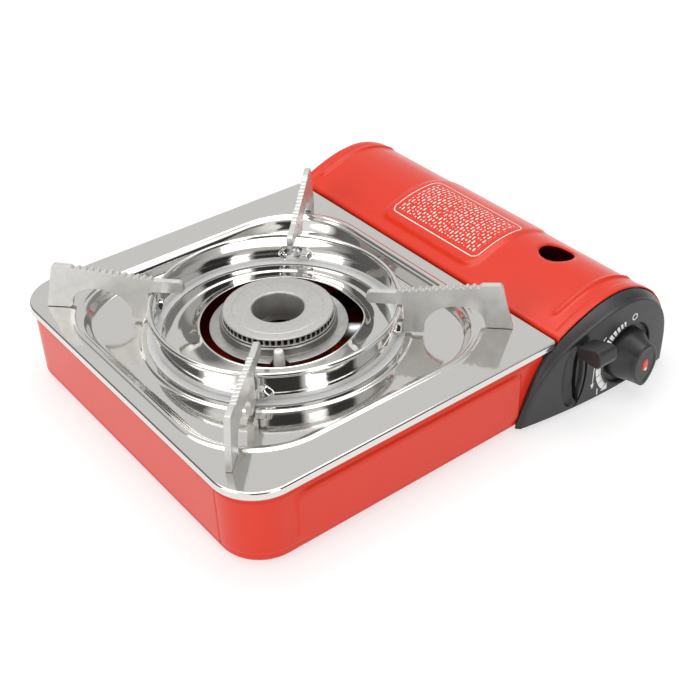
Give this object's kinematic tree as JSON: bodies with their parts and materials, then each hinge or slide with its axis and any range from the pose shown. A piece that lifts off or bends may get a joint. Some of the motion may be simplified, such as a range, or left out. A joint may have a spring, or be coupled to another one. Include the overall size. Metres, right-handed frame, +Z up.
{
  "type": "camping stove",
  "caption": "Portable butane stove: red enamelled steel case, bright steel top, ringed burner, toothed pan supports, hinged cartridge lid, black control cover, turning knob and lock lever.",
  "frame": {"origin": "middle of the footprint, on the surface the feet stand on", "axes": "+X to the cartridge bay, on the right of someone facing the knob; -Y to the front, where the knob is; +Z up"},
  "size_m": [0.3455, 0.3064, 0.0904],
  "materials": {
    "red_enamel": "glossy baked red enamel on pressed steel",
    "stainless_steel": "bright polished stainless sheet, faintly warm",
    "bright_steel": "mirror-bright rolled ring",
    "zinc_plated_steel": "plain zinc plating, satin",
    "cast_aluminium": "matte grey die casting",
    "galvanised_steel": "dull grey galvanised sheet",
    "brass": "bare turned brass",
    "black_plastic": "moulded black plastic, satin",
    "black_rubber": "black rubber",
    "white_ceramic": "white glazed ceramic",
    "signal_red": "red plastic inlay",
    "silicone_lead": "pale grey silicone skin"
  },
  "bodies": {
    "base": {"base_tray": "red_enamel", "bay_rail_left": "zinc_plated_steel", "bay_rail_right": "zinc_plated_steel", "bracket_rivet": "brass", "burner_bowl": "cast_aluminium", "burner_cap": "cast_aluminium", "burner_stand": "zinc_plated_steel", "cartridge_spring": "zinc_plated_steel", "control_panel": "black_plastic", "electrode": "white_ceramic", "electrode_bracket": "zinc_plated_steel", "foot_1": "black_rubber", "foot_2": "black_rubber", "foot_3": "black_rubber", "foot_4": "black_rubber", "front_bracket": "zinc_plated_steel", "gas_pipe": "brass", "heat_shield": "zinc_plated_steel", "heat_strip": "cast_aluminium", "hinge_rod": "zinc_plated_steel", "ignition_lead": "silicone_lead", "lever_pin": "zinc_plated_steel", "mixing_tube": "zinc_plated_steel", "nozzle": "brass", "piezo_unit": "black_plastic", "rear_arch_plate": "red_enamel", "top_panel": "stainless_steel", "valve_body": "cast_aluminium", "valve_port": "brass"},
    "lid": {"lid": "red_enamel"},
    "knob": {"knob": "black_plastic", "knob_mark": "signal_red", "spindle": "zinc_plated_steel", "knob_cam": "black_plastic"},
    "plunger": {"piezo_plunger": "white_ceramic"},
    "lever": {"lock_lever": "black_plastic", "lever_arm": "zinc_plated_steel"},
    "clamp": {"cartridge_clamp": "zinc_plated_steel"},
    "trivet": {"ring_seat": "galvanised_steel", "wind_ring": "bright_steel", "pot_support_1": "galvanised_steel", "pot_support_2": "galvanised_steel", "pot_support_3": "galvanised_steel", "pot_support_4": "galvanised_steel", "support_rivet_1": "zinc_plated_steel", "support_rivet_2": "zinc_plated_steel", "support_rivet_3": "zinc_plated_steel", "support_rivet_4": "zinc_plated_steel"}
  },
  "joints": [
    {"name": "lid_hinge", "type": "hinge", "parent": "base", "child": "lid", "pos_m": [0.16992, 0.0157, 0.0225], "axis": [0, 1, 0], "range_deg": [0, 95]},
    {"name": "knob_turn", "type": "hinge", "parent": "base", "child": "knob", "pos_m": [0.12422, -0.14827, 0.0276], "axis": [0, -1, 0], "range_deg": [0, 130]},
    {"name": "plunger_slide", "type": "slide", "parent": "base", "child": "plunger", "axis": [1, 0, 0], "range_m": [0, 0.004]},
    {"name": "lever_turn", "type": "hinge", "parent": "base", "child": "lever", "pos_m": [0.07972, -0.07127, 0.031], "axis": [1, 0, 0], "range_deg": [0, 26.5]},
    {"name": "clamp_slide", "type": "slide", "parent": "base", "child": "clamp", "axis": [0, -1, 0], "range_m": [0, 0.004]},
    {"name": "trivet_lift", "type": "slide", "parent": "base", "child": "trivet", "axis": [0, 0, 1], "range_m": [0, 0.05]}
  ],
  "couplings": [
    {"joint": "plunger_slide", "follows": "knob_turn", "m_per_rad": 0.00176},
    {"joint": "clamp_slide", "follows": "lever_turn", "m_per_rad": 0.0086}
  ]
}
